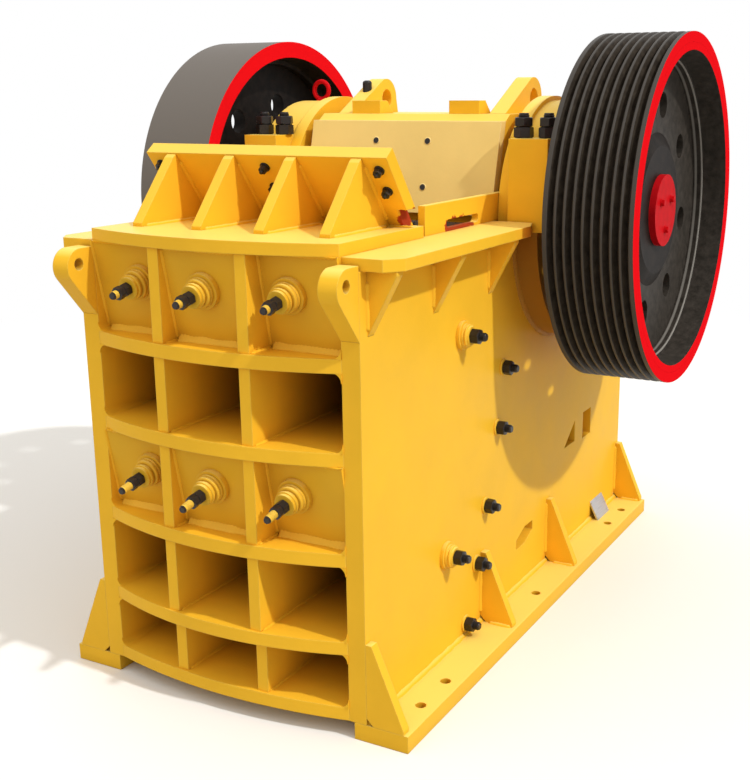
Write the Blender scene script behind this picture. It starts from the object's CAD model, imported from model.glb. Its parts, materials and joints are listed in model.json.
import json
import math

import bmesh
import bpy
from mathutils import Matrix, Vector, noise


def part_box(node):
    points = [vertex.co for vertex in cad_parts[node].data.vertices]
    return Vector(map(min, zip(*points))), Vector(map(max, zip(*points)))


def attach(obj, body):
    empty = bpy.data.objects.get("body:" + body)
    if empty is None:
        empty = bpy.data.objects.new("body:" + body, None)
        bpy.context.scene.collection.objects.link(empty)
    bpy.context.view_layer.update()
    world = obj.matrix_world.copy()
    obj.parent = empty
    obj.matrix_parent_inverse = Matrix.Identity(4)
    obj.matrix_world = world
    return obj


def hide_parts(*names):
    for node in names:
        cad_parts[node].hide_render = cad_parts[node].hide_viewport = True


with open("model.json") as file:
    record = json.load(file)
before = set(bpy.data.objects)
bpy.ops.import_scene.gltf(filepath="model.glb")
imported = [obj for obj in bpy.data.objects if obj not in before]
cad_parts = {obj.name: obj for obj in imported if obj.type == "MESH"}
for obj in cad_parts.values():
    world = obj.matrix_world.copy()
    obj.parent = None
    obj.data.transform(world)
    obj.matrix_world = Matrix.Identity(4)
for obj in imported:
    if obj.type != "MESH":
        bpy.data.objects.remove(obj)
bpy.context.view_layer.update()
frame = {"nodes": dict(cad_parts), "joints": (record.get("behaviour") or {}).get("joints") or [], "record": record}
NODES = frame["nodes"]
SCENE = bpy.context.scene
SIDES = (-1, 1)
MM = 0.001

# Sockets of the colour form of the mix node, and the factor that the wave texture puts on its scale
MIX_A = 6
MIX_B = 7
MIX_OUT = 2
WAVE_BANDS = 20

# Lines of the machine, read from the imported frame, in metres, and three leans
AXIS = Vector(next(j for j in frame["joints"] if j["name"] == "shaft_spin")["pos_m"])
SIDE_LOW, SIDE_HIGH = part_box("side_plate_right")
FACE_X = SIDE_HIGH.x
INNER_X = SIDE_LOW.x
FRONT_Y = SIDE_LOW.y
REAR_Y = SIDE_HIGH.y
FOOT_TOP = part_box("foot_plates")[1].z
FLANGE_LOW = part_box("top_flanges")[0].z
PLATE_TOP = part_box("top_plate")[1].z
JAW_BOLT_DIP = math.radians(11.0)
JAW_BOLT_AXIS = Vector((0.0, -math.cos(JAW_BOLT_DIP), -math.sin(JAW_BOLT_DIP)))
GUARD_LEAN = math.radians(37.0)
SWING_LEAN = math.radians(14.0)


# Helpers for colours, nodes and meshes

def rgb(code):
    """An sRGB hex colour as linear red, green, blue and alpha."""
    parts = [int(code[i:i + 2], 16) / 255 for i in (1, 3, 5)]
    return tuple(c / 12.92 if c <= 0.04045 else ((c + 0.055) / 1.055) ** 2.4 for c in parts) + (1.0,)


def per_mm(size):
    """The texture scale at which one cell of a pattern is this many millimetres across."""
    return 1 / (size * MM)


def add(tree, kind, values=None, links=None, **settings):
    """Adds one node with its settings, the values of its sockets and what is linked to them."""
    node = tree.nodes.new(kind)
    for key, value in settings.items():
        setattr(node, key, value)
    for key, value in (values or {}).items():
        node.inputs[key].default_value = value
    for key, source in (links or {}).items():
        tree.links.new(source, node.inputs[key])
    return node


def new_material(name, roughness, metallic=0.0, sheen=0.5):
    """A material with its tree, its shader and the coordinates of the piece itself."""
    material = bpy.data.materials.new(name)
    material.use_nodes = True
    tree = material.node_tree
    tree.nodes.clear()
    shader = add(tree, "ShaderNodeBsdfPrincipled",
                 {"Roughness": roughness, "Metallic": metallic, "Specular IOR Level": sheen})
    add(tree, "ShaderNodeOutputMaterial", links={"Surface": shader.outputs[0]})
    place = add(tree, "ShaderNodeTexCoord")
    return material, tree, shader, place.outputs["Object"]


def make_piece(name, bm, body, slot, *materials, crease=32.0):
    """Turns a mesh under work into a piece of the object that rides on a body."""
    bmesh.ops.recalc_face_normals(bm, faces=bm.faces)
    for face in bm.faces:
        face.smooth = True
    for edge in bm.edges:
        edge.smooth = edge.calc_face_angle(0.0) < math.radians(crease)
    mesh = bpy.data.meshes.new(name)
    bm.to_mesh(mesh)
    bm.free()
    piece = bpy.data.objects.new(name, mesh)
    SCENE.collection.objects.link(piece)
    for material in materials:
        mesh.materials.append(material)
    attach(piece, body)
    return piece


def solids(node):
    """The separate solids of a CAD node, each as a list of its points in metres."""
    bm = bmesh.new()
    bm.from_mesh(NODES[node].data)
    bmesh.ops.remove_doubles(bm, verts=bm.verts, dist=0.01 * MM)
    left = set(bm.verts)
    found = []
    for first in bm.verts:
        if first not in left:
            continue
        left.discard(first)
        queue = [first]
        points = []
        while queue:
            vert = queue.pop()
            points.append(vert.co.copy())
            for edge in vert.link_edges:
                other = edge.other_vert(vert)
                if other in left:
                    left.discard(other)
                    queue.append(other)
        found.append(points)
    bm.free()
    return found


def corners(points):
    """Lowest and highest corner of some points."""
    low = Vector(min(p[i] for p in points) for i in range(3))
    high = Vector(max(p[i] for p in points) for i in range(3))
    return low, high


def side_of(low, high):
    """Which side of the machine a solid is on, as -1 or 1, and where its outer face is."""
    return (1, high.x) if low.x > 0 else (-1, low.x)


def stand_on(point, axis):
    """A place, for sizes in mm, whose own Z runs along axis."""
    turn = Vector(axis).to_track_quat("Z", "Y").to_matrix().to_4x4()
    return Matrix.Translation(point) @ turn @ Matrix.Scale(MM, 4)


def turned(bm, place, profile, steps=40, mark=0):
    """A turned solid. The profile has heights along the axis and radii in mm.
    Either may depend on the angle."""
    rings = []
    for height, radius in profile:
        ring = []
        for i in range(steps):
            angle = 2 * math.pi * i / steps
            r = radius(angle) if callable(radius) else radius
            z = height(angle) if callable(height) else height
            ring.append(bm.verts.new(place @ Vector((r * math.cos(angle), r * math.sin(angle), z))))
        rings.append(ring)
    for lower, upper in zip(rings, rings[1:]):
        for i in range(steps):
            j = (i + 1) % steps
            bm.faces.new((lower[i], lower[j], upper[j], upper[i])).material_index = mark
    for end in (rings[0], rings[-1]):
        bm.faces.new(end).material_index = mark


NUT_SLOPE = math.tan(math.radians(30.0))
NUT_FACE = 0.94       # round face of a nut against its width over flats


def nut(bm, place, low, high, across, turn, mark=0):
    """A chamfered hexagon nut between two heights along its axis, in mm, turned by some degrees."""
    flat = across / 2
    face_r = NUT_FACE * flat
    sixth = math.radians(60.0)

    def hexagon(angle):
        return flat / math.cos((angle - math.radians(turn) + sixth / 2) % sixth - sixth / 2)

    def drop(angle):
        return (hexagon(angle) - face_r) * NUT_SLOPE

    profile = [
        (low, face_r),
        (lambda a: low + drop(a), hexagon),
        (lambda a: high - drop(a), hexagon),
        (high, face_r),
    ]
    turned(bm, place, profile, steps=48, mark=mark)


# Shares of a thread's pitch: its depth, the places along one turn, and the chamfer of the tip
THREAD_DEPTH = 0.54
CREST_FROM = 0.30
CREST_TO = 0.50
ROOT_FROM = 0.85
TIP_LONG = 0.6
TIP_DEEP = 0.4


def thread(low, high, radius, pitch):
    """The profile of a threaded end between two heights, in mm, with a chamfered tip."""
    root = radius - THREAD_DEPTH * pitch
    profile = [(low, root)]
    for i in range(int((high - low) / pitch) - 1):
        start = low + i * pitch
        profile.append((start + CREST_FROM * pitch, radius))
        profile.append((start + CREST_TO * pitch, radius))
        profile.append((start + ROOT_FROM * pitch, root))
    profile.append((high - TIP_LONG * pitch, root))
    profile.append((high, root - TIP_DEEP * pitch))
    return profile


WELD_STEP = 7.0       # mm from one ripple of a weld to the next
WELD_LUMP = 45.0      # mm between the swells of a hand-laid bead
WELD_SWELL = 0.30     # what a swell and a ripple add to a bead, and what is left of it at its ends
WELD_RIPPLE = 0.10
WELD_END = 0.2
WELD_HOLLOW = 1.4
BEAD_POINTS = 5       # across the face of a bead
BEAD_CREASE = 75.0    # degrees; ripples stay smooth


def weld(bm, path, leg, hollow=WELD_HOLLOW):
    """A hand-laid fillet weld. The path has points in a corner, each with the two directions along its faces;
    a hollow of 1 gives a round bead, of 2 a flat one."""
    rings = []
    for (p, pa, pb), (q, qa, qb) in zip(path, path[1:]):
        count = max(2, int((q - p).length / (WELD_STEP * MM)))
        for i in range(count if (q - path[-1][0]).length > 0 else count + 1):
            t = i / count
            centre = p.lerp(q, t)
            a = pa.lerp(qa, t).normalized()
            b = pb.lerp(qb, t).normalized()
            lump = WELD_SWELL * noise.noise(centre * per_mm(WELD_LUMP))
            swell = 1 + lump + WELD_RIPPLE * (-1) ** len(rings)
            at_end = not rings or (q == path[-1][0] and i == count)
            size = leg * MM * swell * (WELD_END if at_end else 1.0)
            ring = [bm.verts.new(centre - (a + b) * MM)]
            for k in range(BEAD_POINTS):
                turn = math.pi / 2 * k / (BEAD_POINTS - 1)
                out = a * math.cos(turn) ** hollow + b * math.sin(turn) ** hollow
                ring.append(bm.verts.new(centre + out * size))
            rings.append(ring)
    for one, two in zip(rings, rings[1:]):
        for i in range(len(one)):
            j = (i + 1) % len(one)
            bm.faces.new((one[i], one[j], two[j], two[i]))
    bm.faces.new(rings[0])
    bm.faces.new(rings[-1])


def straight_weld(bm, start, end, side_a, side_b, leg, hollow=WELD_HOLLOW):
    """A fillet weld along one straight corner."""
    a = Vector(side_a)
    b = Vector(side_b)
    weld(bm, [(Vector(start), a, b), (Vector(end), a, b)], leg, hollow)


# Materials

ENAMEL = "#FCC332"
ENAMEL_EDGE = "#FFD860"
GRIME = "#5E3A12"
PRIMER = "#A63A22"
UNSPRAYED = "#553116"
BLEACHED = "#FFE680"
PAINT_SHEEN = 0.07
THIN_FILM = 0.92      # tone of the thinnest film against the thickest


def enamelled_plate(name, colour, edge_colour, roughness=0.36, primer=(), pockets=None):
    """Alkyd enamel sprayed over welded steel plate. It gives a warm satin gloss with orange peel, cloudy film
    thickness, a paler build-up along the edges where edge_colour is given, level faces bleached by sun and
    dust, brown grime in the corners, bare patches of red oxide round the places named by primer, and brown
    steel where the spray thins out inside the pockets of the front, which are not bleached."""
    material, tree, shader, spot = new_material(name, roughness, sheen=PAINT_SHEEN)
    cloud = add(tree, "ShaderNodeTexNoise", {"Scale": per_mm(260), "Detail": 5.0, "Roughness": 0.6},
                {"Vector": spot})
    film = add(tree, "ShaderNodeValToRGB", links={"Fac": cloud.outputs["Fac"]})
    film.color_ramp.elements[0].position = 0.30
    film.color_ramp.elements[1].position = 0.72
    film.color_ramp.elements[0].color = [THIN_FILM * c for c in rgb(colour)[:3]] + [1.0]
    film.color_ramp.elements[1].color = rgb(colour)
    built = film.outputs["Color"]
    true_normal = add(tree, "ShaderNodeNewGeometry")
    normal = true_normal.outputs["Normal"]
    if edge_colour:
        # The rounded normal differs from the true one only beside an edge, which marks where paint builds up
        rounded = add(tree, "ShaderNodeBevel", {"Radius": 5 * MM}, samples=4)
        bend = add(tree, "ShaderNodeVectorMath", links={0: rounded.outputs["Normal"], 1: normal},
                   operation="DOT_PRODUCT")
        edge = add(tree, "ShaderNodeMapRange", {"From Min": 0.995, "From Max": 0.90, "To Max": 0.55},
                   {"Value": bend.outputs["Value"]})
        thick = add(tree, "ShaderNodeMix", {MIX_B: rgb(edge_colour)},
                    {"Factor": edge.outputs["Result"], MIX_A: built}, data_type="RGBA")
        built = thick.outputs[MIX_OUT]
        normal = rounded.outputs["Normal"]
    if not pockets:
        way = add(tree, "ShaderNodeTexCoord")
        facing = add(tree, "ShaderNodeSeparateXYZ", links={0: way.outputs["Normal"]})
        level = add(tree, "ShaderNodeMapRange", {"From Min": 0.6, "From Max": 0.98, "To Max": 0.65},
                    {"Value": facing.outputs["Z"]})
        faded = add(tree, "ShaderNodeMix", {MIX_B: rgb(BLEACHED)},
                    {"Factor": level.outputs["Result"], MIX_A: built}, data_type="RGBA")
        built = faded.outputs[MIX_OUT]
    shut_in = add(tree, "ShaderNodeAmbientOcclusion", {"Distance": 80 * MM}, samples=6)
    grime = add(tree, "ShaderNodeMapRange", {"From Min": 0.65, "From Max": 0.1, "To Max": 0.45},
                {"Value": shut_in.outputs["AO"]})
    dirty = add(tree, "ShaderNodeMix", {MIX_B: rgb(GRIME)},
                {"Factor": grime.outputs["Result"], MIX_A: built}, data_type="RGBA")
    built = dirty.outputs[MIX_OUT]
    if pockets:
        start, thin, wall, wall_end = pockets
        part = add(tree, "ShaderNodeSeparateXYZ", links={0: spot})
        sideways = add(tree, "ShaderNodeMath", links={0: part.outputs["X"]}, operation="ABSOLUTE")
        inside = add(tree, "ShaderNodeMath", {1: INNER_X + 2 * MM}, {0: sideways.outputs["Value"]},
                     operation="LESS_THAN")
        to_wall = add(tree, "ShaderNodeVectorMath", {1: wall}, {0: spot}, operation="DOT_PRODUCT")
        before = add(tree, "ShaderNodeMath", {1: wall_end}, {0: to_wall.outputs["Value"]},
                     operation="LESS_THAN")
        deep = add(tree, "ShaderNodeMapRange", {"From Min": start, "From Max": thin, "To Max": 0.85},
                   {"Value": part.outputs["Y"]})
        where = add(tree, "ShaderNodeMath", links={0: inside.outputs["Value"], 1: before.outputs["Value"]},
                    operation="MULTIPLY")
        missed = add(tree, "ShaderNodeMath", links={0: where.outputs["Value"], 1: deep.outputs["Result"]},
                     operation="MULTIPLY")
        brown = add(tree, "ShaderNodeMix", {MIX_B: rgb(UNSPRAYED)},
                    {"Factor": missed.outputs["Value"], MIX_A: built}, data_type="RGBA")
        built = brown.outputs[MIX_OUT]
    for centre, reach in primer:
        off = add(tree, "ShaderNodeVectorMath", {1: centre}, {0: spot}, operation="SUBTRACT")
        near = add(tree, "ShaderNodeVectorMath", {1: [1 / r for r in reach]}, {0: off.outputs["Vector"]},
                   operation="MULTIPLY")
        far = add(tree, "ShaderNodeVectorMath", links={0: near.outputs["Vector"]}, operation="LENGTH")
        ragged = add(tree, "ShaderNodeTexNoise", {"Scale": per_mm(28), "Detail": 4.0}, {"Vector": spot})
        rim = add(tree, "ShaderNodeMath", links={0: far.outputs["Value"], 1: ragged.outputs["Fac"]},
                  operation="ADD")
        bare = add(tree, "ShaderNodeMapRange", {"From Min": 1.28, "From Max": 1.18},
                   {"Value": rim.outputs["Value"]})
        primed = add(tree, "ShaderNodeMix", {MIX_B: rgb(PRIMER)},
                     {"Factor": bare.outputs["Result"], MIX_A: built}, data_type="RGBA")
        built = primed.outputs[MIX_OUT]
    tree.links.new(built, shader.inputs["Base Color"])
    # Orange peel of about 3 mm, drawn at 11 mm so that it shows at this distance
    peel = add(tree, "ShaderNodeTexNoise", {"Scale": per_mm(11), "Detail": 2.0}, {"Vector": spot})
    dent = add(tree, "ShaderNodeTexNoise", {"Scale": per_mm(140), "Detail": 2.0}, {"Vector": spot})
    both = add(tree, "ShaderNodeMath", {1: 6.0}, {0: dent.outputs["Fac"], 2: peel.outputs["Fac"]},
               operation="MULTIPLY_ADD")
    bump = add(tree, "ShaderNodeBump", {"Strength": 0.22, "Distance": 1.2 * MM},
               {"Height": both.outputs["Value"], "Normal": normal})
    tree.links.new(bump.outputs["Normal"], shader.inputs["Normal"])
    gloss = add(tree, "ShaderNodeMapRange", {"To Min": roughness - 0.08, "To Max": roughness + 0.12},
                {"Value": cloud.outputs["Fac"]})
    tree.links.new(gloss.outputs["Result"], shader.inputs["Roughness"])
    return material


def black_oxide_steel():
    """Hot-rolled nuts with a black oxide skin: almost black, with an oily sheen and paler rubbed corners."""
    material, tree, shader, spot = new_material("black_oxide_steel", 0.38, sheen=0.35)
    scale = add(tree, "ShaderNodeTexNoise", {"Scale": per_mm(6), "Detail": 4.0}, {"Vector": spot})
    skin = add(tree, "ShaderNodeValToRGB", links={"Fac": scale.outputs["Fac"]})
    skin.color_ramp.elements[0].color = rgb("#141110")
    skin.color_ramp.elements[1].color = rgb("#2E2927")
    tree.links.new(skin.outputs["Color"], shader.inputs["Base Color"])
    bump = add(tree, "ShaderNodeBump", {"Strength": 0.25, "Distance": 0.4 * MM},
               {"Height": scale.outputs["Fac"]})
    tree.links.new(bump.outputs["Normal"], shader.inputs["Normal"])
    return material


def wheel_span(node):
    """Smallest and largest distance of a wheel node's points from the shaft's axis."""
    away = [math.hypot(v.co.y - AXIS.y, v.co.z - AXIS.z) for v in NODES[node].data.vertices]
    return min(away), max(away)


PULLEY_SEAT = wheel_span("pulley_rim")[0]
FLYWHEEL_SEAT = wheel_span("flywheel_rim")[0]
PULLEY_R = wheel_span("pulley_grooves")[1]
FLYWHEEL_R = wheel_span("flywheel_rim")[1]
LEDGE_H = 18 * MM     # the rim's thicker foot stands at least this far inside its bore
LEDGE_W = 40 * MM     # and this far beyond the web
FOOT_LINES = ((LEDGE_W, 1.0), (12 * MM, 0.6))     # beyond the web, and how bright
LINE_R = 3 * MM       # full and faded reach of such a line
LINE_FADE = 7 * MM
SQUARE_ON = 0.97      # end faces look along the shaft at least this closely
RUBBED = "#A09B93"
RED = "#E8141C"
WHEEL_SHEEN = 0.09    # also on the socket itself, for an export that drops the link


def cast_wheel(name, dark, pale, roughness, seat, web, turning=None, land=None):
    """A cast iron wheel in sprayed paint: sandy casting skin, rim end faces in red enamel, two bright rubbed
    lines round the rim's foot, tool lines where it was turned, and rubbed crests at the radius that land
    names."""
    material, tree, shader, spot = new_material(name, roughness, sheen=WHEEL_SHEEN)
    centred = add(tree, "ShaderNodeVectorMath", {1: AXIS}, {0: spot}, operation="SUBTRACT")
    part = add(tree, "ShaderNodeSeparateXYZ", links={0: centred.outputs["Vector"]})
    across = add(tree, "ShaderNodeCombineXYZ", links={"Y": part.outputs["Y"], "Z": part.outputs["Z"]})
    radius = add(tree, "ShaderNodeVectorMath", links={0: across.outputs["Vector"]}, operation="LENGTH")
    skin = add(tree, "ShaderNodeTexNoise", {"Scale": per_mm(35), "Detail": 6.0, "Roughness": 0.65},
               {"Vector": spot})
    tone = add(tree, "ShaderNodeValToRGB", links={"Fac": skin.outputs["Fac"]})
    tone.color_ramp.elements[0].position = 0.35
    tone.color_ramp.elements[1].position = 0.70
    tone.color_ramp.elements[0].color = rgb(dark)
    tone.color_ramp.elements[1].color = rgb(pale)
    colour = tone.outputs["Color"]
    if land:
        crest, crest_colour = land
        rubbed = add(tree, "ShaderNodeMapRange", {"From Min": crest - 3 * MM, "From Max": crest - 1 * MM},
                     {"Value": radius.outputs["Value"]})
        mixed = add(tree, "ShaderNodeMix", {MIX_B: rgb(crest_colour)},
                    {"Factor": rubbed.outputs["Result"], MIX_A: colour}, data_type="RGBA")
        colour = mixed.outputs[MIX_OUT]
    # Bright lines round the foot: rings where both the radius and the distance from the web fit
    web_face = max(abs(c.x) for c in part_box(web))
    sideways = add(tree, "ShaderNodeMath", links={0: part.outputs["X"]}, operation="ABSOLUTE")
    off_r = add(tree, "ShaderNodeMath", {1: seat}, {0: radius.outputs["Value"]}, operation="SUBTRACT")
    for out, share in FOOT_LINES:
        off_x = add(tree, "ShaderNodeMath", {1: web_face + out}, {0: sideways.outputs["Value"]},
                    operation="SUBTRACT")
        off = add(tree, "ShaderNodeCombineXYZ",
                  links={"X": off_x.outputs["Value"], "Y": off_r.outputs["Value"]})
        gap = add(tree, "ShaderNodeVectorMath", links={0: off.outputs["Vector"]}, operation="LENGTH")
        bright = add(tree, "ShaderNodeMapRange", {"From Min": LINE_FADE, "From Max": LINE_R, "To Max": share},
                     {"Value": gap.outputs["Value"]})
        lined = add(tree, "ShaderNodeMix", {MIX_B: rgb(RUBBED)},
                    {"Factor": bright.outputs["Result"], MIX_A: colour}, data_type="RGBA")
        colour = lined.outputs[MIX_OUT]
    # End faces look along the shaft, and lie outside the rim's foot
    way = add(tree, "ShaderNodeTexCoord")
    facing = add(tree, "ShaderNodeSeparateXYZ", links={0: way.outputs["Normal"]})
    flat_on = add(tree, "ShaderNodeMath", links={0: facing.outputs["X"]}, operation="ABSOLUTE")
    end_face = add(tree, "ShaderNodeMath", {1: SQUARE_ON}, {0: flat_on.outputs["Value"]},
                   operation="GREATER_THAN")
    outside = add(tree, "ShaderNodeMath", {1: seat + LEDGE_H}, {0: radius.outputs["Value"]},
                  operation="GREATER_THAN")
    painted = add(tree, "ShaderNodeMath", links={0: end_face.outputs["Value"], 1: outside.outputs["Value"]},
                  operation="MULTIPLY")
    red = add(tree, "ShaderNodeMix", {MIX_B: rgb(RED)}, {"Factor": painted.outputs["Value"], MIX_A: colour},
              data_type="RGBA")
    tree.links.new(red.outputs[MIX_OUT], shader.inputs["Base Color"])
    sheen = add(tree, "ShaderNodeMapRange", {"To Min": WHEEL_SHEEN, "To Max": 0.0},
                {"Value": painted.outputs["Value"]})
    tree.links.new(sheen.outputs["Result"], shader.inputs["Specular IOR Level"])
    sand = add(tree, "ShaderNodeTexNoise", {"Scale": per_mm(9), "Detail": 3.0}, {"Vector": spot})
    height = sand.outputs["Fac"]
    if turning:
        # Tool lines about 0.6 mm apart, drawn as broad bands, so coarse that they show
        lines = add(tree, "ShaderNodeTexWave",
                    {"Scale": per_mm(turning) / WAVE_BANDS, "Distortion": 0.4, "Detail": 2.0},
                    {"Vector": spot}, bands_direction="X")
        height = lines.outputs["Fac"]
    rounded = add(tree, "ShaderNodeBevel", {"Radius": 3 * MM}, samples=4)
    bump = add(tree, "ShaderNodeBump", {"Strength": 0.3, "Distance": 0.8 * MM},
               {"Height": height, "Normal": rounded.outputs["Normal"]})
    tree.links.new(bump.outputs["Normal"], shader.inputs["Normal"])
    return material


def red_enamel():
    """Brushed red enamel on a turned cap: strong clean red with a wet gloss and slight brush waves."""
    material, tree, shader, spot = new_material("red_enamel_on_steel", 0.45, sheen=0.02)
    wave = add(tree, "ShaderNodeTexNoise", {"Scale": per_mm(40), "Detail": 3.0}, {"Vector": spot})
    tone = add(tree, "ShaderNodeValToRGB", links={"Fac": wave.outputs["Fac"]})
    tone.color_ramp.elements[0].color = rgb("#B01018")
    tone.color_ramp.elements[1].color = rgb("#D8161D")
    tree.links.new(tone.outputs["Color"], shader.inputs["Base Color"])
    bump = add(tree, "ShaderNodeBump", {"Strength": 0.2, "Distance": 0.8 * MM},
               {"Height": wave.outputs["Fac"]})
    tree.links.new(bump.outputs["Normal"], shader.inputs["Normal"])
    return material


def machined_steel():
    """Turned carbon steel: bright grey metal with fine rings along the shaft."""
    material, tree, shader, spot = new_material("turned_carbon_steel", 0.3, 1.0)
    ring = add(tree, "ShaderNodeTexWave", {"Scale": per_mm(5) / WAVE_BANDS, "Distortion": 1.0, "Detail": 3.0},
               {"Vector": spot}, bands_direction="X")
    tone = add(tree, "ShaderNodeValToRGB", links={"Fac": ring.outputs["Fac"]})
    tone.color_ramp.elements[0].color = rgb("#8C8B89")
    tone.color_ramp.elements[1].color = rgb("#B9B8B5")
    tree.links.new(tone.outputs["Color"], shader.inputs["Base Color"])
    return material


def manganese_casting(name):
    """Cast manganese steel as it leaves the sand: dark grey-brown, dull, pitted, with rust in the hollows."""
    material, tree, shader, spot = new_material(name, 0.62)
    pits = add(tree, "ShaderNodeTexNoise", {"Scale": per_mm(14), "Detail": 6.0, "Roughness": 0.7},
               {"Vector": spot})
    rust = add(tree, "ShaderNodeTexNoise", {"Scale": per_mm(90), "Detail": 4.0}, {"Vector": spot})
    tone = add(tree, "ShaderNodeValToRGB", links={"Fac": rust.outputs["Fac"]})
    tone.color_ramp.elements[0].position = 0.40
    tone.color_ramp.elements[1].position = 0.72
    tone.color_ramp.elements[0].color = rgb("#4E4A46")
    tone.color_ramp.elements[1].color = rgb("#7A4E30")
    tree.links.new(tone.outputs["Color"], shader.inputs["Base Color"])
    bump = add(tree, "ShaderNodeBump", {"Strength": 0.6, "Distance": 1.5 * MM},
               {"Height": pits.outputs["Fac"]})
    tree.links.new(bump.outputs["Normal"], shader.inputs["Normal"])
    return material


def brushed_aluminium():
    """Rolled aluminium plate, brushed one way: pale metal with fine lines along its length."""
    material, tree, shader, spot = new_material("brushed_aluminium", 0.38, 1.0)
    stretch = add(tree, "ShaderNodeMapping", {"Scale": (1.0, 0.04, 1.0)}, {"Vector": spot})
    lines = add(tree, "ShaderNodeTexNoise", {"Scale": per_mm(3), "Detail": 4.0},
                {"Vector": stretch.outputs["Vector"]})
    tone = add(tree, "ShaderNodeValToRGB", links={"Fac": lines.outputs["Fac"]})
    tone.color_ramp.elements[0].color = rgb("#A9ABAD")
    tone.color_ramp.elements[1].color = rgb("#DADBDC")
    tree.links.new(tone.outputs["Color"], shader.inputs["Base Color"])
    return material


# Primer shows inside the right cheek plate's slot and at the guard's right foot, within these reaches
cheek_low, cheek_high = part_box("cheek_plates")
guard_low, guard_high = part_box("feed_guard")
BARE_SLOT = Vector((cheek_high.x - 13 * MM, cheek_low.y + 262 * MM, cheek_low.z + 14 * MM))
BARE_SLOT_REACH = (60 * MM, 170 * MM, 45 * MM)
BARE_FOOT = Vector((guard_high.x - 20 * MM, guard_high.y - 50 * MM, guard_low.z + 30 * MM))
BARE_FOOT_REACH = (40 * MM, 100 * MM, 54 * MM)

YELLOW = enamelled_plate("yellow_enamel_on_plate", ENAMEL, ENAMEL_EDGE)
CHEEK = enamelled_plate("yellow_enamel_over_primer", ENAMEL, ENAMEL_EDGE,
                        primer=[(BARE_SLOT, BARE_SLOT_REACH)])
GUARD_YELLOW = enamelled_plate("yellow_enamel_on_guard", ENAMEL, ENAMEL_EDGE,
                               primer=[(BARE_FOOT, BARE_FOOT_REACH)])
DULL_YELLOW = enamelled_plate("dull_enamel_in_rows", "#EAB52F", "#F3C858")
PALE = enamelled_plate("pale_enamel_on_wear_plate", "#FFDE88", "#FFE9B4", roughness=0.45)

# The paint of the pockets thins out between two depths, and only in front of the sloping wall's rear face
THIN_FROM = FRONT_Y + 60 * MM
THIN_TO = FRONT_Y + 450 * MM
wall_low, wall_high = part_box("front_wall")
wall_points = [v.co for v in NODES["front_wall"].data.vertices]
wall_top_y = max(p.y for p in wall_points if p.z > wall_high.z - 1 * MM)
WALL_SLOPE = (wall_high.y - wall_top_y) / (wall_high.z - wall_low.z)
WALL_END = wall_top_y + WALL_SLOPE * wall_high.z + 1 * MM
POCKETS = (THIN_FROM, THIN_TO, (0.0, 1.0, WALL_SLOPE), WALL_END)

FRONT_YELLOW = enamelled_plate("yellow_enamel_on_front_ribs", ENAMEL, ENAMEL_EDGE, pockets=POCKETS)
BEAD_YELLOW = enamelled_plate("yellow_enamel_on_beads", ENAMEL, None)
FRONT_BEAD = enamelled_plate("yellow_enamel_on_front_beads", ENAMEL, None, pockets=POCKETS)
THICK_YELLOW = enamelled_plate("thick_enamel_on_beads", "#FFCA40", None)
OILED_YELLOW = enamelled_plate("oiled_enamel_on_saddles", "#A9782A", "#BB8E42")
OILED_BEAD = enamelled_plate("oiled_enamel_on_saddle_beads", "#B98630", None)
NUT_BLACK = black_oxide_steel()
RED_GLOSS = red_enamel()
STEEL = machined_steel()
JAW_STEEL = manganese_casting("cast_manganese_steel")
ALUMINIUM = brushed_aluminium()
GROOVED = cast_wheel("black_enamel_on_grooves", "#2A241E", "#40382F", 0.42, PULLEY_SEAT, "pulley_web",
                     land=(PULLEY_R, "#4C4844"))
PULLEY_BLACK = cast_wheel("black_enamel_on_pulley", "#2C2823", "#443E38", 0.45, PULLEY_SEAT, "pulley_web")
FLYWHEEL_GREY = cast_wheel("grey_primer_on_turned_rim", "#1D1916", "#332D28", 0.5, FLYWHEEL_SEAT,
                           "flywheel_web", turning=14, land=(FLYWHEEL_R, "#706A64"))
HUB_BLACK = cast_wheel("black_enamel_on_hubs", "#15110E", "#261F1A", 0.5, PULLEY_SEAT, "pulley_web")
TOGGLE_IRON = manganese_casting("cast_iron_toggle")

FINISHES = {
    "fixed_jaw": JAW_STEEL,
    "swing_die": JAW_STEEL,
    "swing_guard": PALE,
    "cheek_plates": CHEEK,
    "feed_guard": GUARD_YELLOW,
    "row_plates": DULL_YELLOW,
    "jaw_bolt_washers": DULL_YELLOW,
    "front_ribs": FRONT_YELLOW,
    "front_wall": FRONT_YELLOW,
    "upright_ribs": FRONT_YELLOW,
    "side_plate_left": FRONT_YELLOW,
    "side_plate_right": FRONT_YELLOW,
    "saddles": OILED_YELLOW,
    "hub_caps": RED_GLOSS,
    "eccentric_shaft": STEEL,
    "pulley_grooves": GROOVED,
    "pulley_rim": PULLEY_BLACK,
    "pulley_web": PULLEY_BLACK,
    "flywheel_web": HUB_BLACK,
    "flywheel_rim": FLYWHEEL_GREY,
    "wheel_hubs": HUB_BLACK,
    "toggle_plate": TOGGLE_IRON,
    "toggle_seat": TOGGLE_IRON,
    "name_plate": ALUMINIUM,
}
for node_name, node_object in NODES.items():
    node_object.data.materials.clear()
    node_object.data.materials.append(FINISHES.get(node_name, YELLOW))


# Jaw bolts of the ribbed front: stepped ring, nut, lock nut and rod end

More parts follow.
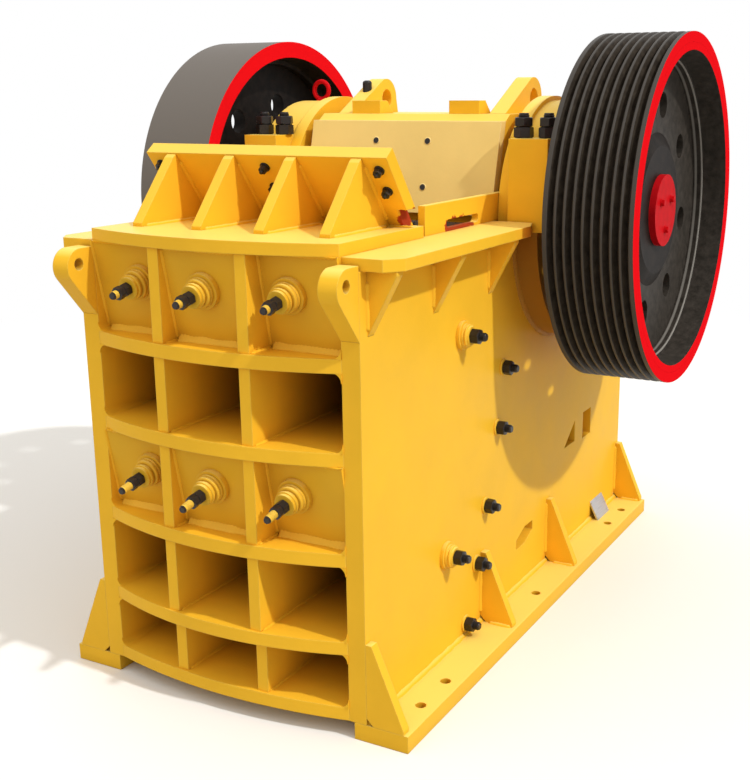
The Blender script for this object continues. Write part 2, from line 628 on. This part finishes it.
JAW_NUT_AF = 40.0
JAW_NUT_H = 54.0      # nut and lock nut
JAW_ROD_R = 14.0
JAW_PITCH = 3.5
JAW_TIP = 6.0         # dark end of the rod
NUT_SHARE = 0.56      # of the height that nut and lock nut take together
NUT_GAP = 1.0         # between nut and lock nut
LOCK_TURN = 20.0
ROD_SUNK = 4.0        # rod ends start this deep inside the nut
STEP_R = 50.0
STEP_H = 25.0
COLLAR_R = 42.0       # a thin ring round the sleeve, between these two depths under the nut
COLLAR_LOW = 21.0
COLLAR_HIGH = 10.0
WASHER_H = 20.0
SLEEVE_H = 73.0       # washer and sleeve together, under the nut

jaw_nuts = bmesh.new()
jaw_rods = bmesh.new()
jaw_steps = bmesh.new()
for points in solids("jaw_bolt_nuts"):
    along = [p.dot(JAW_BOLT_AXIS) for p in points]
    seat = [p for p, a in zip(points, along) if a < min(along) + 0.1 * MM]
    place = stand_on(sum(seat, Vector()) / len(seat), JAW_BOLT_AXIS)
    joint = JAW_NUT_H * NUT_SHARE
    nut(jaw_nuts, place, 0.0, joint - NUT_GAP, JAW_NUT_AF, 0.0)
    nut(jaw_nuts, place, joint, JAW_NUT_H, JAW_NUT_AF, LOCK_TURN)
    top = (max(along) - min(along)) / MM
    rod = thread(JAW_NUT_H - ROD_SUNK, top - JAW_TIP, JAW_ROD_R, JAW_PITCH)
    dark_end = thread(top - JAW_TIP - JAW_PITCH, top, JAW_ROD_R - 1.0, JAW_PITCH)
    turned(jaw_rods, place, rod, steps=32)
    turned(jaw_rods, place, dark_end, steps=32, mark=1)
    ring_low = WASHER_H - SLEEVE_H
    turned(jaw_steps, place, [
        (ring_low, STEP_R - 2.0),
        (ring_low + 2.0, STEP_R),
        (ring_low + 9.0, STEP_R),
        (ring_low + 11.0, STEP_R - 4.0),
        (ring_low + 13.0, STEP_R - 4.0),
        (ring_low + 15.0, STEP_R - 1.0),
        (ring_low + STEP_H - 3.0, STEP_R - 2.0),
        (ring_low + STEP_H, STEP_R - 6.0),
    ])
    turned(jaw_steps, place, [
        (-COLLAR_LOW, COLLAR_R - 6.0),
        (-COLLAR_LOW + 2.0, COLLAR_R),
        (-COLLAR_HIGH - 2.0, COLLAR_R),
        (-COLLAR_HIGH, COLLAR_R - 6.0),
    ])
jaw_nut_piece = make_piece("jaw_bolt_lock_nuts", jaw_nuts, "frame", "black_nut", NUT_BLACK)
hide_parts("jaw_bolt_nuts")
make_piece("jaw_bolt_rod_ends", jaw_rods, "frame", "yellow_paint", YELLOW, NUT_BLACK)
make_piece("jaw_bolt_step_rings", jaw_steps, "frame", "yellow_paint", DULL_YELLOW)


# Bearing cap studs with nut and lock nut

BEARING_NUT_AF = 66.0
BEARING_STUD_R = 21.0
BEARING_STUD_OUT = 16.0
BEARING_PITCH = 4.5

cap_nuts = bmesh.new()
for points in solids("bearing_nuts"):
    low, high = corners(points)
    foot = Vector(((low.x + high.x) / 2, (low.y + high.y) / 2, low.z))
    place = stand_on(foot, (0, 0, 1))
    height = (high.z - low.z) / MM
    joint = height * NUT_SHARE
    nut(cap_nuts, place, 0.0, joint - NUT_GAP, BEARING_NUT_AF, 0.0)
    nut(cap_nuts, place, joint, height, BEARING_NUT_AF, LOCK_TURN)
    stud = thread(height - ROD_SUNK, height + BEARING_STUD_OUT, BEARING_STUD_R, BEARING_PITCH)
    turned(cap_nuts, place, stud, steps=32)
cap_nut_piece = make_piece("bearing_lock_nuts", cap_nuts, "frame", "black_nut", NUT_BLACK)
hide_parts("bearing_nuts")


# Side tie bolts: stepped bosses on the two pads a side, and five plain bolts down each side plate

PAD_RING_R = 39.0
PAD_RING_H = 26.0
TIE_NUT_AF = 50.0
TIE_NUT_H = 32.0
TIE_ROD_R = 16.0
TIE_ROD_OUT = 24.0
TIE_PITCH = 4.0
TIE_WASHER_R = 33.0
TIE_WASHER_H = 7.0
# Places of the plain bolts along and up a side plate, in metres
TIE_PLACES = ((-0.194, 1.038), (-0.243, 0.811), (-0.346, 0.526), (-0.425, 0.318), (-0.516, 0.107))

pad_rings = bmesh.new()
tie_nuts = bmesh.new()
tie_washers = bmesh.new()


def tie_end(place, base, turn):
    """Nut and rod end of one tie bolt, from a height along its axis."""
    nut(tie_nuts, place, base, base + TIE_NUT_H, TIE_NUT_AF, turn)
    tip = base + TIE_NUT_H + TIE_ROD_OUT
    turned(tie_nuts, place, thread(base + TIE_NUT_H - ROD_SUNK, tip, TIE_ROD_R, TIE_PITCH), steps=28)


for points in solids("side_pads"):
    low, high = corners(points)
    side, face = side_of(low, high)
    place = stand_on(Vector((face, (low.y + high.y) / 2, (low.z + high.z) / 2)), (side, 0, 0))
    turned(pad_rings, place, [
        (-1.0, PAD_RING_R + 4.0),
        (6.0, PAD_RING_R + 4.0),
        (8.0, PAD_RING_R),
        (11.0, PAD_RING_R),
        (13.0, PAD_RING_R + 2.0),
        (18.0, PAD_RING_R + 2.0),
        (20.0, PAD_RING_R - 3.0),
        (PAD_RING_H, PAD_RING_R - 5.0),
    ])
    tie_end(place, PAD_RING_H, 12.0)
for side in SIDES:
    for number, (y, z) in enumerate(TIE_PLACES):
        place = stand_on(Vector((side * FACE_X, y, z)), (side, 0, 0))
        turned(tie_washers, place, [
            (-1.0, TIE_WASHER_R),
            (TIE_WASHER_H - 1.5, TIE_WASHER_R),
            (TIE_WASHER_H, TIE_WASHER_R - 2.0),
        ])
        tie_end(place, TIE_WASHER_H, 17.0 * number)
make_piece("tie_bolt_step_rings", pad_rings, "frame", "yellow_paint", YELLOW)
make_piece("tie_bolt_nuts", tie_nuts, "frame", "black_nut", NUT_BLACK)
make_piece("tie_bolt_washers", tie_washers, "frame", "yellow_paint", YELLOW)


# Bolts of the feed guard's liner, under the leaning plate

LINER_BOLT_X = (-0.440, 0.0, 0.440)
LINER_BOLT_UP = (0.157, 0.243)
LINER_HEAD_AF = 27.0
LINER_HEAD_H = 18.0
LINER_WASHER_R = 18.0
LINER_WASHER_H = 5.0
LINER_ROD_R = 8.0
LINER_ROD_OUT = 10.0
LINER_PITCH = 2.5
GUARD_FOOT = Vector((0.0, corners(solids("guard_gussets")[0])[1].y, PLATE_TOP))
GUARD_UP = Vector((0.0, -math.sin(GUARD_LEAN), math.cos(GUARD_LEAN)))
GUARD_FACE = Vector((0.0, -math.cos(GUARD_LEAN), -math.sin(GUARD_LEAN)))

liner_bolts = bmesh.new()
for x in LINER_BOLT_X:
    for up in LINER_BOLT_UP:
        place = stand_on(GUARD_FOOT + Vector((x, 0, 0)) + GUARD_UP * up, GUARD_FACE)
        turned(liner_bolts, place, [
            (-1.0, LINER_WASHER_R),
            (LINER_WASHER_H - 1.0, LINER_WASHER_R),
            (LINER_WASHER_H, LINER_WASHER_R - 1.5),
        ], steps=32)
        top = LINER_WASHER_H + LINER_HEAD_H
        nut(liner_bolts, place, LINER_WASHER_H, top, LINER_HEAD_AF, 10.0 + 600 * x)
        turned(liner_bolts, place, thread(top - 3.0, top + LINER_ROD_OUT, LINER_ROD_R, LINER_PITCH), steps=24)
make_piece("feed_guard_bolts", liner_bolts, "frame", "black_nut", NUT_BLACK)


# Hub cap screws

CAP_SCREW_CIRCLE = 75 * MM
CAP_SCREW_ANGLES = (32.0, 152.0, 272.0)
CAP_SCREW_AF = 24.0
CAP_SCREW_H = 12.0
CAP_WASHER_R = 16.0
CAP_WASHER_H = 3.0

cap_screws = bmesh.new()
for points in solids("hub_caps"):
    low, high = corners(points)
    side, face = side_of(low, high)
    for angle in CAP_SCREW_ANGLES:
        a = math.radians(angle)
        y = AXIS.y + CAP_SCREW_CIRCLE * math.cos(a)
        z = AXIS.z + CAP_SCREW_CIRCLE * math.sin(a)
        place = stand_on(Vector((face, y, z)), (side, 0, 0))
        turned(cap_screws, place, [
            (-1.0, CAP_WASHER_R),
            (CAP_WASHER_H - 0.5, CAP_WASHER_R),
            (CAP_WASHER_H, CAP_WASHER_R - 1.0),
        ], steps=32)
        nut(cap_screws, place, CAP_WASHER_H, CAP_WASHER_H + CAP_SCREW_H, CAP_SCREW_AF, angle)
make_piece("hub_cap_screws", cap_screws, "drive", "red_paint", RED_GLOSS)


# Tapped holes of the swing jaw's wear plate, each a dark cup with a rubbed lip

TAP_X = 0.118
TAP_Z = (1.694, 1.872)
TAP_R = 13.0
swing_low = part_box("swing_guard")[0]
SWING_FACE = Vector((0.0, -math.cos(SWING_LEAN), math.sin(SWING_LEAN)))

tap_holes = bmesh.new()
for x in (-TAP_X, TAP_X):
    for z in TAP_Z:
        y = swing_low.y + (z - swing_low.z) * math.tan(SWING_LEAN)
        place = stand_on(Vector((x, y, z)), SWING_FACE)
        turned(tap_holes, place, [(-1.0, TAP_R + 3.0), (0.6, TAP_R + 2.5), (1.2, TAP_R)], steps=32)
        turned(tap_holes, place, [(0.0, TAP_R - 0.5), (1.3, TAP_R - 1.0)], steps=32, mark=1)
make_piece("wear_plate_tapped_holes", tap_holes, "swing", "pale_yellow_paint", PALE, NUT_BLACK)


# Round-headed bolt on the sloping front of the left lug

LUG_BOLT_UP = 0.72    # share of the slope, from its foot
LUG_BOLT_R = 20.0
LUG_BOLT_H = 40.0
lug_low, lug_high = min((corners(p) for p in solids("head_lugs")), key=lambda box: box[0].x)
LUG_EYE = Vector(next(m for m in frame["record"]["mounts"] if m["name"] == "head_lug_left")["pos_m"])
lug_r = lug_high.z - LUG_EYE.z
lug_foot = Vector((LUG_EYE.x, lug_low.y, lug_low.z))
lug_leg = LUG_EYE - lug_foot
lug_turn = math.atan2(lug_leg.z, lug_leg.y) + math.asin(lug_r / lug_leg.length)
lug_slope = Vector((0.0, math.cos(lug_turn), math.sin(lug_turn)))
lug_reach = math.sqrt(lug_leg.length ** 2 - lug_r ** 2)

lug_bolt = bmesh.new()
place = stand_on(lug_foot + lug_slope * lug_reach * LUG_BOLT_UP, (0.0, 0.0, 1.0))
turned(lug_bolt, place, [
    (-LUG_BOLT_R, LUG_BOLT_R),
    (LUG_BOLT_H - 9.0, LUG_BOLT_R),
    (LUG_BOLT_H - 3.0, LUG_BOLT_R - 4.0),
    (LUG_BOLT_H, LUG_BOLT_R - 11.0),
], steps=32)
make_piece("head_lug_bolt", lug_bolt, "swing", "black_nut", NUT_BLACK)


# Red lifting eyes on the bearing caps

EYE_X = 0.612         # place on the cap in metres, sizes in mm
EYE_BACK = 0.025
EYE_RING_R = 38.0
EYE_WIRE_R = 10.0
EYE_UP = 46.0
EYE_STEPS = 40
WIRE_STEPS = 14
CAP_RIM = 18 * MM     # the housing's highest point stands this far above its round cap
CAP_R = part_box("bearing_right")[1].z - AXIS.z - CAP_RIM

eyes = bmesh.new()
for side in SIDES:
    top = AXIS.z + math.sqrt(CAP_R ** 2 - EYE_BACK ** 2)
    place = stand_on(Vector((side * EYE_X, AXIS.y + EYE_BACK, top)), (0, 0, 1))
    turned(eyes, place, [(-6.0, 24.0), (6.0, 24.0), (9.0, 18.0), (11.0, 12.0)], steps=32)
    rounds = []
    for i in range(EYE_STEPS):
        a = 2 * math.pi * i / EYE_STEPS
        out = Vector((math.cos(a), 0.0, math.sin(a)))
        ring = []
        for k in range(WIRE_STEPS):
            b = 2 * math.pi * k / WIRE_STEPS
            local = Vector((0, 0, EYE_UP)) + out * (EYE_RING_R + EYE_WIRE_R * math.cos(b))
            ring.append(eyes.verts.new(place @ (local + Vector((0, EYE_WIRE_R * math.sin(b), 0)))))
        rounds.append(ring)
    for one, two in zip(rounds, rounds[1:] + rounds[:1]):
        for k in range(WIRE_STEPS):
            m = (k + 1) % WIRE_STEPS
            eyes.faces.new((one[k], one[m], two[m], two[k]))
make_piece("bearing_lifting_eyes", eyes, "frame", "red_paint", RED_GLOSS)


# Rivets of the bare plate on the right foot

PLATE_LOW, PLATE_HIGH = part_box("name_plate")
slope = Vector((PLATE_LOW.x - PLATE_HIGH.x, 0.0, PLATE_HIGH.z - PLATE_LOW.z)).normalized()
outward = Vector((slope.z, 0.0, -slope.x))
RIVET_IN = 11 * MM

rivets = bmesh.new()
plate_len = math.hypot(PLATE_HIGH.x - PLATE_LOW.x, PLATE_HIGH.z - PLATE_LOW.z)
for y in (PLATE_LOW.y + RIVET_IN, PLATE_HIGH.y - RIVET_IN):
    for up in (RIVET_IN, plate_len - RIVET_IN):
        place = stand_on(Vector((PLATE_HIGH.x, y, PLATE_LOW.z)) + slope * up, outward)
        turned(rivets, place, [(-1.0, 5.0), (1.0, 5.0), (2.6, 3.6), (3.2, 1.2)], steps=20)
make_piece("bare_plate_rivets", rivets, "frame", "bare_plate", ALUMINIUM)


# Weld beads

FOOT_LEG = 13.0       # legs of the beads, in mm
RIB_LEG = 8.0
PANEL_LEG = 6.0
POCKET_LEG = 5.0
ROW_LEG = 18.0        # broad flat beads, thick with paint, under the row plates
ROW_HOLLOW = 2.0
COPE = 36 * MM        # gussets are cut away at the inner corner
FOOT_IN = 8 * MM      # beads stop this far before the ends of what they join
FLANGE_IN = 20 * MM
TOE_IN = 6 * MM
TIP_IN = 18 * MM
ROW_IN = 6 * MM
POCKET_IN = 14 * MM
GUSSET_IN = 20 * MM
GUARD_IN = 25 * MM
FLANGE_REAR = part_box("top_flanges")[1].y

foot_welds = bmesh.new()
for side in SIDES:
    x = side * FACE_X
    straight_weld(foot_welds, (x, FRONT_Y + FOOT_IN, FOOT_TOP), (x, REAR_Y - FOOT_IN, FOOT_TOP),
                  (0, 0, 1), (side, 0, 0), FOOT_LEG)
    straight_weld(foot_welds, (x, FRONT_Y + FLANGE_IN, FLANGE_LOW), (x, FLANGE_REAR, FLANGE_LOW),
                  (0, 0, -1), (side, 0, 0), RIB_LEG)
for node, floor_z, up in (("foot_gussets", FOOT_TOP, 1), ("flange_gussets", FLANGE_LOW, -1)):
    for points in solids(node):
        low, high = corners(points)
        side, face = side_of(low, high)
        toe = face - side * TOE_IN
        tip = (high.z if up > 0 else low.z) - up * TIP_IN
        for y, way in ((low.y, -1), (high.y, 1)):
            if abs(y) > REAR_Y - 1 * MM:
                continue
            straight_weld(foot_welds, (side * (FACE_X + COPE), y, floor_z), (toe, y, floor_z),
                          (0, 0, up), (0, way, 0), RIB_LEG)
            straight_weld(foot_welds, (side * FACE_X, y, floor_z + up * COPE), (side * FACE_X, y, tip),
                          (side, 0, 0), (0, way, 0), RIB_LEG)
make_piece("side_and_foot_welds", foot_welds, "frame", "yellow_paint", BEAD_YELLOW, crease=BEAD_CREASE)

front_welds = bmesh.new()
row_welds = bmesh.new()
for points in solids("row_plates"):
    low, high = corners(points)
    top_y = min(p.y for p in points if p.z > high.z - 1 * MM)
    low_y = min(p.y for p in points if p.z < low.z + 1 * MM)
    lean = Vector((0, top_y - low_y, high.z - low.z)).normalized()
    left_x = low.x + ROW_IN
    right_x = high.x - ROW_IN
    straight_weld(row_welds, (left_x, low_y, low.z), (right_x, low_y, low.z), lean, (0, -1, 0), ROW_LEG,
                  hollow=ROW_HOLLOW)
    straight_weld(front_welds, (left_x, top_y, high.z), (right_x, top_y, high.z), -lean, (0, -1, 0), RIB_LEG)
    for x, way in ((low.x, 1), (high.x, -1)):
        straight_weld(front_welds, (x, low_y, low.z), (x, top_y, high.z), (way, 0, 0), (0, -1, 0), PANEL_LEG)
for points in solids("upright_ribs"):
    low, high = corners(points)
    for x, way in ((low.x, -1), (high.x, 1)):
        for z, up in ((low.z, 1), (high.z, -1)):
            rear = max(p.y for p in points if abs(p.z - z) < 1 * MM)
            straight_weld(front_welds, (x, low.y + POCKET_IN, z), (x, rear, z),
                          (0, 0, up), (way, 0, 0), POCKET_LEG)
make_piece("row_plate_welds", row_welds, "frame", "yellow_paint", THICK_YELLOW, crease=BEAD_CREASE)
make_piece("ribbed_front_welds", front_welds, "frame", "yellow_paint", FRONT_BEAD, crease=BEAD_CREASE)

top_welds = bmesh.new()
for points in solids("guard_gussets"):
    low, high = corners(points)
    reach = (high.z - low.z - GUARD_IN) / math.cos(GUARD_LEAN)
    for x, way in ((low.x, -1), (high.x, 1)):
        straight_weld(top_welds, (x, low.y + GUSSET_IN, PLATE_TOP), (x, high.y - GUSSET_IN, PLATE_TOP),
                      (0, 0, 1), (way, 0, 0), RIB_LEG)
        foot = GUARD_FOOT + Vector((x, 0, 0))
        straight_weld(top_welds, foot + GUARD_UP * GUARD_IN, foot + GUARD_UP * reach,
                      GUARD_FACE, (way, 0, 0), RIB_LEG)
straight_weld(top_welds, (guard_low.x, GUARD_FOOT.y, PLATE_TOP), (guard_high.x, GUARD_FOOT.y, PLATE_TOP),
              GUARD_UP, (0, -1, 0), RIB_LEG)
make_piece("feed_guard_welds", top_welds, "frame", "yellow_paint", BEAD_YELLOW, crease=BEAD_CREASE)

SADDLE_STEPS = 32

saddle_welds = bmesh.new()
for points in solids("saddles"):
    low, high = corners(points)
    side = side_of(low, high)[0]
    round_r = (high.y - low.y) / 2
    path = []
    for i in range(SADDLE_STEPS + 1):
        a = math.pi + math.pi * i / SADDLE_STEPS
        out = Vector((0, math.cos(a), math.sin(a)))
        path.append((Vector((side * FACE_X, AXIS.y, high.z)) + out * round_r, Vector((side, 0, 0)), out))
    weld(saddle_welds, path, FOOT_LEG)
make_piece("saddle_welds", saddle_welds, "frame", "yellow_paint", OILED_BEAD, crease=BEAD_CREASE)


# Rounded weld fillets in the outer corners of the front rows

CORNER_R = 30 * MM
CORNER_DEEP = 220 * MM
CORNER_END_R = 3 * MM     # the fillets die out towards the wall
CORNER_OUT = 4 * MM       # and start this far before the side plates
CORNER_STEPS = 8

rib_boxes = sorted((corners(p) for p in solids("front_ribs")), key=lambda box: box[0].z)
row_lows = [box[1].z for box in rib_boxes]
row_highs = [box[0].z for box in rib_boxes[1:]] + [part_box("top_plate")[0].z]
fillets = bmesh.new()
for low_z, high_z in zip(row_lows, row_highs):
    for side in SIDES:
        for z, up in ((low_z, 1), (high_z, -1)):
            ends = []
            for y, r in ((FRONT_Y - CORNER_OUT, CORNER_R), (FRONT_Y + CORNER_DEEP, CORNER_END_R)):
                section = [fillets.verts.new((side * (INNER_X + 1 * MM), y, z - up * MM))]
                for i in range(CORNER_STEPS + 1):
                    a = math.pi / 2 * i / CORNER_STEPS
                    x = INNER_X - r * (1 - math.sin(a))
                    section.append(fillets.verts.new((side * x, y, z + up * r * (1 - math.cos(a)))))
                ends.append(section)
            count = len(ends[0])
            for i in range(count):
                j = (i + 1) % count
                fillets.faces.new((ends[0][i], ends[0][j], ends[1][j], ends[1][i]))
            for section in ends:
                fillets.faces.new(section)
make_piece("row_corner_fillets", fillets, "frame", "yellow_paint", FRONT_BEAD)


# Floor, light and camera

FLOOR_R = 30.0
FADE_FROM = 3.0           # the floor turns plain white between these two distances
FADE_TO = 7.0
FLOOR_LIT = "#B4B3B0"     # the grey that lights the object, and the near white that is seen
FLOOR_SEEN = "#F4F3F0"


def seen_straight(tree):
    """One for rays from the camera, from a reflection or through glass, and zero for all others."""
    ray = add(tree, "ShaderNodeLightPath")
    seen = add(tree, "ShaderNodeMath",
               links={0: ray.outputs["Is Camera Ray"], 1: ray.outputs["Is Glossy Ray"]}, operation="MAXIMUM")
    through = add(tree, "ShaderNodeMath",
                  links={0: seen.outputs["Value"], 1: ray.outputs["Is Transmission Ray"]},
                  operation="MAXIMUM")
    return through.outputs["Value"]


floor_mesh = bmesh.new()
bmesh.ops.create_circle(floor_mesh, cap_ends=True, segments=96, radius=FLOOR_R)
floor_data = bpy.data.meshes.new("studio_floor")
floor_mesh.to_mesh(floor_data)
floor_mesh.free()
floor = bpy.data.objects.new("studio_floor", floor_data)
floor.location = (0, 0, -1 * MM)
SCENE.collection.objects.link(floor)
paper, tree, shader, spot = new_material("white_paper_floor", 0.8)
away = add(tree, "ShaderNodeVectorMath", links={0: spot}, operation="LENGTH")
fade = add(tree, "ShaderNodeMapRange", {"From Min": FADE_FROM, "From Max": FADE_TO},
           {"Value": away.outputs["Value"]}, interpolation_type="SMOOTHSTEP")
straight = seen_straight(tree)
sheet = add(tree, "ShaderNodeMix", {MIX_A: rgb(FLOOR_LIT), MIX_B: rgb(FLOOR_SEEN)}, {"Factor": straight},
            data_type="RGBA")
tree.links.new(sheet.outputs[MIX_OUT], shader.inputs["Base Color"])
faded = add(tree, "ShaderNodeMath", links={0: fade.outputs["Result"], 1: straight}, operation="MULTIPLY")
white = add(tree, "ShaderNodeEmission", {"Color": rgb("#FFFFFF"), "Strength": 1.0})
blend = add(tree, "ShaderNodeMixShader",
            links={0: faded.outputs["Value"], 1: shader.outputs[0], 2: white.outputs[0]})
output = next(n for n in tree.nodes if n.type == "OUTPUT_MATERIAL")
tree.links.new(blend.outputs[0], output.inputs["Surface"])
floor_data.materials.append(paper)

SKY_LOW = 0.30
SKY_HIGH = 1.25
SKY_BRIGHT = (0.0, -0.30, 0.954)   # towards the brightest part of the sky
world = bpy.data.worlds.new("studio")
SCENE.world = world
world.use_nodes = True
tree = world.node_tree
tree.nodes.clear()
place = add(tree, "ShaderNodeTexCoord")
height = add(tree, "ShaderNodeVectorMath", {1: SKY_BRIGHT}, {0: place.outputs["Generated"]},
             operation="DOT_PRODUCT")
level = add(tree, "ShaderNodeMapRange", {"To Min": SKY_LOW, "To Max": SKY_HIGH},
            {"Value": height.outputs["Value"]})
soft = add(tree, "ShaderNodeBackground", {"Color": rgb("#FFFCF7")}, {"Strength": level.outputs["Result"]})
plain = add(tree, "ShaderNodeBackground", {"Color": rgb("#FFFFFF"), "Strength": 1.0})
both = add(tree, "ShaderNodeMixShader",
           links={0: seen_straight(tree), 1: soft.outputs[0], 2: plain.outputs[0]})
add(tree, "ShaderNodeOutputWorld", links={"Surface": both.outputs[0]})

KEY_FROM = Vector((0.698, -0.055, 0.714))
KEY_STRENGTH = 2.0
KEY_SPREAD = math.radians(2.0)
key = bpy.data.objects.new("key_light", bpy.data.lights.new("key_light", "SUN"))
key.data.energy = KEY_STRENGTH
key.data.angle = KEY_SPREAD
key.rotation_mode = "QUATERNION"
key.rotation_quaternion = KEY_FROM.to_track_quat("Z", "Y")
SCENE.collection.objects.link(key)

IMAGE_W = 750
IMAGE_H = 780
LONG_SIDE = max(IMAGE_W, IMAGE_H)
SENSOR_MM = 36.0
FOCAL_PX = 1143.5
CENTRE_PX = (422.6, 389.2)   # where the optical axis meets the image
EYE = Vector((2.2803, -4.1077, 2.0498))
CAMERA_TURN = math.radians(27.99)
CAMERA_DIP = math.radians(14.43)
CAMERA_ROLL = math.radians(-0.237)
camera = bpy.data.objects.new("camera", bpy.data.cameras.new("camera"))
SCENE.collection.objects.link(camera)
camera.matrix_world = (
    Matrix.Translation(EYE)
    @ Matrix.Rotation(CAMERA_TURN, 4, "Z")
    @ Matrix.Rotation(math.pi / 2 - CAMERA_DIP, 4, "X")
    @ Matrix.Rotation(CAMERA_ROLL, 4, "Z")
)
camera.data.sensor_width = SENSOR_MM
camera.data.lens = SENSOR_MM * FOCAL_PX / LONG_SIDE
camera.data.shift_x = (IMAGE_W / 2 - CENTRE_PX[0]) / LONG_SIDE
camera.data.shift_y = (CENTRE_PX[1] - IMAGE_H / 2) / LONG_SIDE
camera.data.clip_end = 200.0
SCENE.camera = camera

SCENE.view_settings.view_transform = "Standard"
